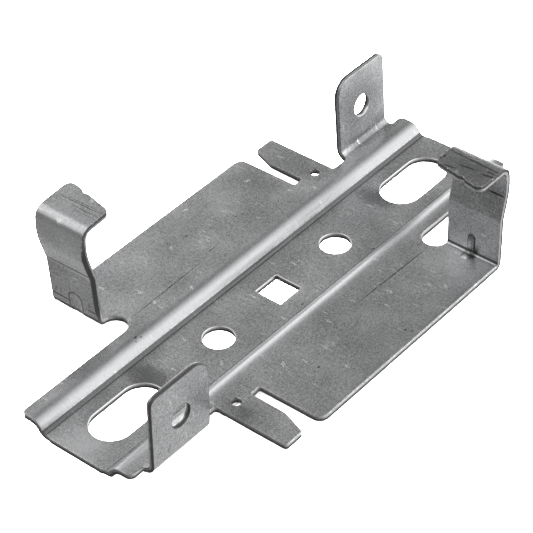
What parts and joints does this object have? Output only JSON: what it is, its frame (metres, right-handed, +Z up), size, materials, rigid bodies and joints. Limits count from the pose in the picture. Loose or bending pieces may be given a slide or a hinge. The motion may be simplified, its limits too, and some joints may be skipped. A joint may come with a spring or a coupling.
{
  "type": "sheet metal clip bracket",
  "caption": "Folded sheet steel bracket: a channel strip with holes and slots, flat wings, hooked spring legs that clip over a rail, and upright lugs with holes.",
  "frame": {"origin": "middle of the underside of the sunk web, under the square hole", "axes": "+X along the strip, +Y across it towards the wing whose leg is at -X, +Z up from the web towards the hooks"},
  "size_m": [0.1454, 0.079, 0.0349],
  "materials": {
    "sheet": "zinc-plated cold-rolled sheet, pressed and folded, with sheared edges"
  },
  "bodies": {
    "root": {"bracket": "sheet"}
  },
  "joints": []
}
